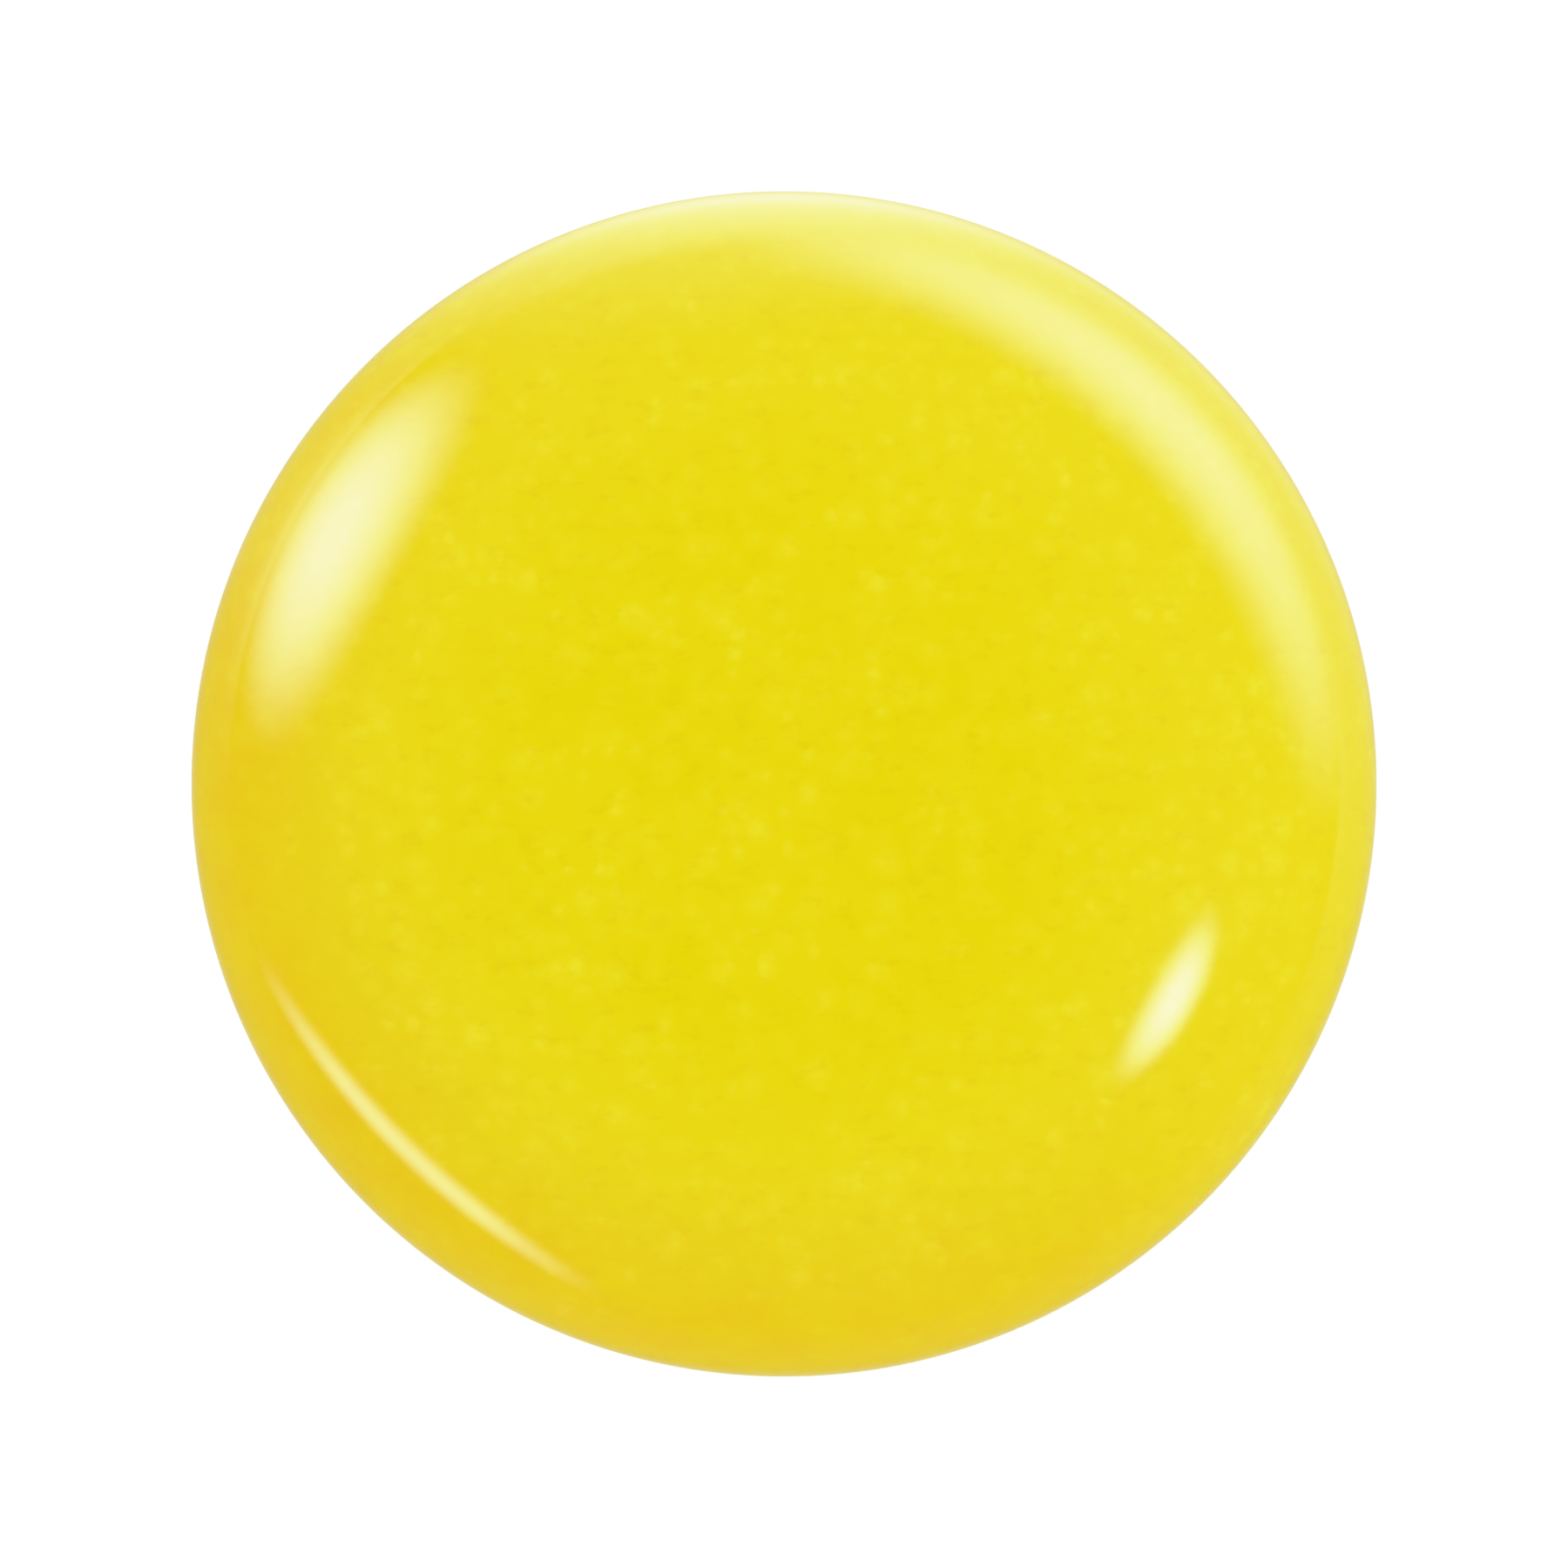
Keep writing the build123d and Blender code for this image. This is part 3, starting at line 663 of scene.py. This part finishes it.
def make_floor():
    bm = bmesh.new()
    s = 2.5
    bm.faces.new([bm.verts.new((x * s, y * s, 0.0)) for x, y in ((-1, -1), (1, -1), (1, 1), (-1, 1))])
    mesh = bpy.data.meshes.new("floor")
    bm.to_mesh(mesh)
    bm.free()
    floor = bpy.data.objects.new("floor", mesh)
    bpy.context.scene.collection.objects.link(floor)
    give(floor, floor_pale())


def panel(name, place, aim, size, radiance, tint=(1, 1, 1), inner=0.0, shape="ellipse", gloss=True, matt=True, tilt=0.0, fade=(1.0, 1.0), band=(0, 0, 1)):
    """Soft box: an area light that fades towards its edges. place and aim in metres, radiance in the render's own units."""
    light = bpy.data.lights.new(name, "AREA")
    light.shape = "RECTANGLE"
    light.size, light.size_y = size
    light.energy = radiance * math.pi * size[0] * size[1]
    light.color = tint
    light.use_nodes = True
    nt = light.node_tree
    nt.nodes.clear()
    out = nt.nodes.new("ShaderNodeOutputLight")
    em = nt.nodes.new("ShaderNodeEmission")
    geo = nt.nodes.new("ShaderNodeNewGeometry")
    sub = nt.nodes.new("ShaderNodeVectorMath")
    sub.operation = "MULTIPLY_ADD"
    sub.inputs[1].default_value = (2, 2, 0)
    sub.inputs[2].default_value = (-1, -1, 0)
    nt.links.new(geo.outputs["Parametric"], sub.inputs[0])
    if shape == "ellipse":
        length = nt.nodes.new("ShaderNodeVectorMath")
        length.operation = "LENGTH"
        nt.links.new(sub.outputs[0], length.inputs[0])
        d = length.outputs["Value"]
        fall = nt.nodes.new("ShaderNodeMapRange")
        fall.interpolation_type = "SMOOTHSTEP"
        nt.links.new(d, fall.inputs["Value"])
        fall.inputs["From Min"].default_value = inner
        fall.inputs["From Max"].default_value = 1.0
        fall.inputs["To Min"].default_value = 1.0
        fall.inputs["To Max"].default_value = 0.0
        strength = fall.outputs[0]
    elif shape == "band":
        # a bowed strip: bow, lean and half width are in half heights of the panel
        bow, lean, half = band
        strength = None
        sep = nt.nodes.new("ShaderNodeSeparateXYZ")
        nt.links.new(sub.outputs[0], sep.inputs[0])

        def calc(op, a, b):
            n = nt.nodes.new("ShaderNodeMath")
            n.operation = op
            for k, v in enumerate((a, b)):
                if hasattr(v, "is_output"):
                    nt.links.new(v, n.inputs[k])
                elif v is not None:
                    n.inputs[k].default_value = v
            return n.outputs[0]

        u, v = sep.outputs[0], sep.outputs[1]
        middle = calc("ADD", calc("MULTIPLY", calc("MULTIPLY", u, u), -bow), calc("MULTIPLY", u, lean))
        for value, lo, hi in ((calc("ABSOLUTE", calc("SUBTRACT", v, middle), None), 0.0, half), (calc("ABSOLUTE", u, None), 0.2, 1.0)):
            fall = nt.nodes.new("ShaderNodeMapRange")
            fall.interpolation_type = "SMOOTHSTEP"
            nt.links.new(value, fall.inputs["Value"])
            for k, q in (("From Min", lo), ("From Max", hi), ("To Min", 1.0), ("To Max", 0.0)):
                fall.inputs[k].default_value = q
            strength = fall.outputs[0] if strength is None else calc("MULTIPLY", strength, fall.outputs[0])
    else:
        # a box with its own fade along (fade[0]) and across (fade[1])
        sep = nt.nodes.new("ShaderNodeSeparateXYZ")
        nt.links.new(sub.outputs[0], sep.inputs[0])
        parts = []
        for k in range(2):
            ab = nt.nodes.new("ShaderNodeMath")
            ab.operation = "ABSOLUTE"
            nt.links.new(sep.outputs[k], ab.inputs[0])
            fall = nt.nodes.new("ShaderNodeMapRange")
            fall.interpolation_type = "SMOOTHSTEP"
            nt.links.new(ab.outputs[0], fall.inputs["Value"])
            fall.inputs["From Min"].default_value = 1.0 - fade[k]
            fall.inputs["From Max"].default_value = 1.0
            fall.inputs["To Min"].default_value = 1.0
            fall.inputs["To Max"].default_value = 0.0
            parts.append(fall.outputs[0])
        mul = nt.nodes.new("ShaderNodeMath")
        mul.operation = "MULTIPLY"
        nt.links.new(parts[0], mul.inputs[0])
        nt.links.new(parts[1], mul.inputs[1])
        strength = mul.outputs[0]
    nt.links.new(strength, em.inputs["Strength"])
    nt.links.new(em.outputs[0], out.inputs[0])
    obj = bpy.data.objects.new(name, light)
    obj.location = place
    obj.rotation_mode = "QUATERNION"
    turn = (Vector(aim) - Vector(place)).to_track_quat("-Z", "Y")
    from mathutils import Quaternion
    obj.rotation_quaternion = turn @ Quaternion((0, 0, 1), math.radians(tilt))
    obj.visible_camera = False
    obj.visible_glossy = gloss
    obj.visible_diffuse = matt
    bpy.context.scene.collection.objects.link(obj)
    return obj


def around(azimuth, distance, height):
    a = math.radians(azimuth)
    return (distance * math.cos(a), distance * math.sin(a), height)


def make_lights():
    h = 0.0125
    d = 0.60
    # tall soft box, left and behind
    panel("soft_left", around(151, d, 0.285), around(151, 0, 0.285), (0.59, 0.75), 13.0, tint=(1.0, 0.92, 0.98), inner=0.0, matt=False)
    # long low soft box, right and behind
    panel("soft_right", around(46, d, 0.17), around(46, 0, 0.17), (1.52, 0.66), 7.1, tint=(1.0, 0.94, 0.98), shape="box", fade=(1.0, 1.0), matt=False)
    # small soft box, front right and high
    panel("soft_front", around(-29, 0.45, 0.455), (0, 0, h), (0.22, 0.150), 16.0, inner=0.0, matt=False)
    # thin bowed strip, front left and low
    panel("strip_left", around(224, d, 0.205), around(224, 0, 0.205), (0.62, 0.40), 6.8, tint=(1.0, 0.90, 0.99), shape="band", band=(0.72, 0.23, 0.40), matt=False)
    # low soft boxes straight behind: a broad faint one and a low brighter one
    panel("soft_behind", around(95, d, 0.0), around(95, 0, 0.0), (0.90, 1.30), 1.15, shape="box", fade=(1.0, 1.0), matt=False)
    panel("soft_behind_low", around(98, 0.63, 0.0), around(98, 0, 0.0), (0.90, 0.32), 1.5, shape="box", fade=(1.0, 1.0), matt=False)


def make_world():
    world = bpy.data.worlds.new("studio")
    bpy.context.scene.world = world
    world.use_nodes = True
    nt = world.node_tree
    nt.nodes.clear()
    out = nt.nodes.new("ShaderNodeOutputWorld")
    path = nt.nodes.new("ShaderNodeLightPath")
    tc = nt.nodes.new("ShaderNodeTexCoord")

    def flat(colour, strength):
        b = nt.nodes.new("ShaderNodeBackground")
        b.inputs[0].default_value = (*colour, 1)
        b.inputs[1].default_value = strength
        return b

    def ramped(value, lo, hi, out_lo, out_hi):
        n = nt.nodes.new("ShaderNodeMapRange")
        nt.links.new(value, n.inputs["Value"])
        for k, v in (("From Min", lo), ("From Max", hi), ("To Min", out_lo), ("To Max", out_hi)):
            n.inputs[k].default_value = v
        return n.outputs[0]

    white = flat((1, 1, 1), 0.74)
    dim = flat((0.98, 0.99, 1.0), 1.0)
    tent = flat((1, 1, 1), 1.0)
    sep = nt.nodes.new("ShaderNodeSeparateXYZ")
    nt.links.new(tc.outputs["Generated"], sep.inputs[0])
    # in reflections the studio is dark straight above, and dim grey all round
    nt.links.new(ramped(sep.outputs[2], 0.97, 0.80, 0.0, 0.17), dim.inputs[1])
    # the tent is a little brighter to the right and behind
    dot = nt.nodes.new("ShaderNodeVectorMath")
    dot.operation = "DOT_PRODUCT"
    dot.inputs[1].default_value = (0.62, 0.48, 0.62)
    nt.links.new(tc.outputs["Generated"], dot.inputs[0])
    nt.links.new(ramped(dot.outputs["Value"], -1.0, 1.0, 0.90, 1.16), tent.inputs[1])
    m1 = nt.nodes.new("ShaderNodeMixShader")
    nt.links.new(path.outputs["Is Diffuse Ray"], m1.inputs[0])
    nt.links.new(dim.outputs[0], m1.inputs[1])
    nt.links.new(tent.outputs[0], m1.inputs[2])
    m2 = nt.nodes.new("ShaderNodeMixShader")
    nt.links.new(path.outputs["Is Camera Ray"], m2.inputs[0])
    nt.links.new(m1.outputs[0], m2.inputs[1])
    nt.links.new(white.outputs[0], m2.inputs[2])
    nt.links.new(m2.outputs[0], out.inputs[0])


def make_camera():
    height = 0.42
    data = bpy.data.cameras.new("camera")
    data.sensor_width = 36.0
    data.sensor_fit = "HORIZONTAL"
    # the round fills 0.7567 of the picture's half width
    data.lens = 0.7567 * 18.0 * (height - BAND_TOP * MM) / (R * MM)
    data.clip_start, data.clip_end = 0.01, 20.0
    cam = bpy.data.objects.new("camera", data)
    cam.location = (0, 0, height)
    cam.rotation_euler = (0, 0, 0)
    bpy.context.scene.collection.objects.link(cam)
    bpy.context.scene.camera = cam


make_floor()
make_lights()
make_world()
make_camera()
bpy.context.scene.view_settings.view_transform = "Standard"
bpy.context.scene.view_settings.look = "None"
bpy.context.scene.view_settings.exposure = 0.0
bpy.context.scene.view_settings.gamma = 1.0
bpy.context.scene.view_settings.use_curve_mapping = True
tone = bpy.context.scene.view_settings.curve_mapping
# straight up to 0.8, then a soft shoulder that reaches white at 2.6; the curve's own scale runs to 3
tone.white_level = (3.0, 3.0, 3.0)
line = tone.curves[3]
line.points[1].location = (1.0, 1.0)
for x, y in ((0.20, 0.20), (0.40, 0.40), (0.60, 0.60), (0.80, 0.80), (0.90, 0.865), (1.10, 0.915), (1.40, 0.950), (1.90, 0.985), (2.60, 1.0)):
    line.points.new(x / 3.0, y)
for q in line.points:
    q.handle_type = "VECTOR" if q.location[0] < 0.25 else "AUTO_CLAMPED"
tone.update()
